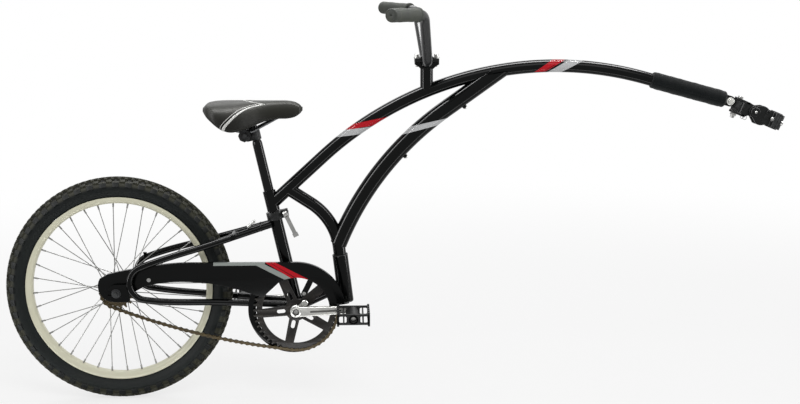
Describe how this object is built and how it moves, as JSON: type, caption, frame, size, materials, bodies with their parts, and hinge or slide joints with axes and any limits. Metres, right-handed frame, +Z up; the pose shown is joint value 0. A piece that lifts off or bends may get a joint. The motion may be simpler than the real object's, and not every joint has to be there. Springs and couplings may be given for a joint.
{
  "type": "trailer bike",
  "caption": "Child's rear half-bicycle on a long curved hitch arm, with a folding frame, its own saddle, handlebar, pedals, chain drive and one wheel.",
  "frame": {"origin": "centre of the hitch's seat post bore", "axes": "+X forward along the direction of travel, +Y to the rider's left, +Z up"},
  "size_m": [1.7533, 0.5442, 0.8866],
  "materials": {
    "frame_paint": "gloss",
    "black_satin": "satin",
    "black_plastic": "satin",
    "bright_steel": "polished",
    "alloy": "brushed",
    "dark_steel": "satin",
    "chain_bronze": "satin",
    "rim_paint": "gloss",
    "tyre_rubber": "matt",
    "grip_rubber": "matt",
    "saddle_vinyl": "satin",
    "pad_foam": "matt"
  },
  "bodies": {
    "seatpost_clamp": {"seatpost_clamp_body": "black_satin", "seatpost_clamp_cap": "black_satin", "clamp_liner": "black_plastic", "clamp_bolt_right": "dark_steel", "clamp_bolt_left": "dark_steel", "hitch_fork": "black_satin", "coupling_pin": "black_satin", "yaw_bolt": "bright_steel"},
    "knuckle": {"knuckle": "black_satin"},
    "front_frame": {"arch_tube": "frame_paint", "pitch_bolt": "bright_steel", "hitch_pad": "pad_foam", "brace_tube": "frame_paint", "down_tube": "frame_paint", "boss_screw_upper": "bright_steel", "boss_screw_lower": "bright_steel", "stem": "frame_paint", "stem_cap": "black_satin", "stem_bolt_front": "bright_steel", "stem_bolt_rear": "bright_steel", "handlebar": "black_satin", "right_grip": "grip_rubber", "left_grip": "grip_rubber", "fold_bolt": "dark_steel"},
    "rear_frame": {"bottom_bracket_shell": "frame_paint", "seat_tube": "frame_paint", "link_tube": "frame_paint", "fold_sleeve": "frame_paint", "fold_bushing": "black_plastic", "right_stay": "frame_paint", "left_stay": "frame_paint", "seat_collar": "black_satin", "qr_skewer": "bright_steel", "bearing_cartridge": "dark_steel", "guard_strap": "black_satin", "guard_screw": "bright_steel", "chain_guard": "frame_paint", "inner_guard": "frame_paint", "inner_guard_screw": "bright_steel", "axle": "dark_steel", "chain": "chain_bronze"},
    "wheel": {"hub": "black_satin", "rim": "rim_paint", "tyre": "tyre_rubber", "right_spokes": "bright_steel", "left_spokes": "bright_steel"},
    "cog": {"cog": "chain_bronze"},
    "cranks": {"crank_spindle": "bright_steel", "right_crank": "alloy", "left_crank": "alloy", "chainring": "black_satin"},
    "right_pedal": {"right_pedal": "black_plastic"},
    "left_pedal": {"left_pedal": "black_plastic"},
    "seatpost": {"seatpost": "frame_paint", "saddle_clamp": "black_satin", "saddle_clamp_bolt": "black_satin", "saddle_rails": "dark_steel", "saddle_base": "black_plastic", "saddle_cover": "saddle_vinyl"},
    "qr_lever": {"qr_lever": "bright_steel"}
  },
  "joints": [
    {"name": "hitch_yaw", "type": "hinge", "parent": "seatpost_clamp", "child": "knuckle", "pos_m": [-0.08494, 0, 0.03279], "axis": [0.3907, 0, 0.9205], "range_deg": [-75, 75]},
    {"name": "hitch_pitch", "type": "hinge", "parent": "knuckle", "child": "front_frame", "pos_m": [-0.10402, 0, 0.04415], "axis": [0, 1, 0], "range_deg": [-35, 35]},
    {"name": "frame_fold", "type": "hinge", "parent": "front_frame", "child": "rear_frame", "pos_m": [-0.97417, 0, -0.35518], "axis": [-0.1201, 0, 0.9928], "range_deg": [-135, 0]},
    {"name": "wheel_spin", "type": "hinge", "parent": "rear_frame", "child": "wheel", "pos_m": [-1.477, 0, -0.373], "axis": [0, 1, 0], "continuous": true},
    {"name": "crank_spin", "type": "hinge", "parent": "rear_frame", "child": "cranks", "pos_m": [-1.0795, 0, -0.4175], "axis": [0, 1, 0], "continuous": true, "deforming": ["chain"]},
    {"name": "cog_spin", "type": "hinge", "parent": "rear_frame", "child": "cog", "pos_m": [-1.477, 0, -0.373], "axis": [0, 1, 0], "continuous": true},
    {"name": "right_pedal_spin", "type": "hinge", "parent": "cranks", "child": "right_pedal", "pos_m": [-0.95258, -0.1185, -0.41307], "axis": [0, 1, 0], "continuous": true},
    {"name": "left_pedal_spin", "type": "hinge", "parent": "cranks", "child": "left_pedal", "pos_m": [-1.20642, 0.1185, -0.42193], "axis": [0, 1, 0], "continuous": true},
    {"name": "seatpost_height", "type": "slide", "parent": "rear_frame", "child": "seatpost", "axis": [-0.2198, 0, 0.9755], "range_m": [-0.09, 0.03]},
    {"name": "qr_lever_flip", "type": "hinge", "parent": "rear_frame", "child": "qr_lever", "pos_m": [-1.10194, -0.0186, -0.20422], "axis": [0.9026, 0, 0.4305], "range_deg": [-110, 0]}
  ],
  "couplings": [
    {"joint": "cog_spin", "follows": "crank_spin", "ratio": 2.5556}
  ]
}
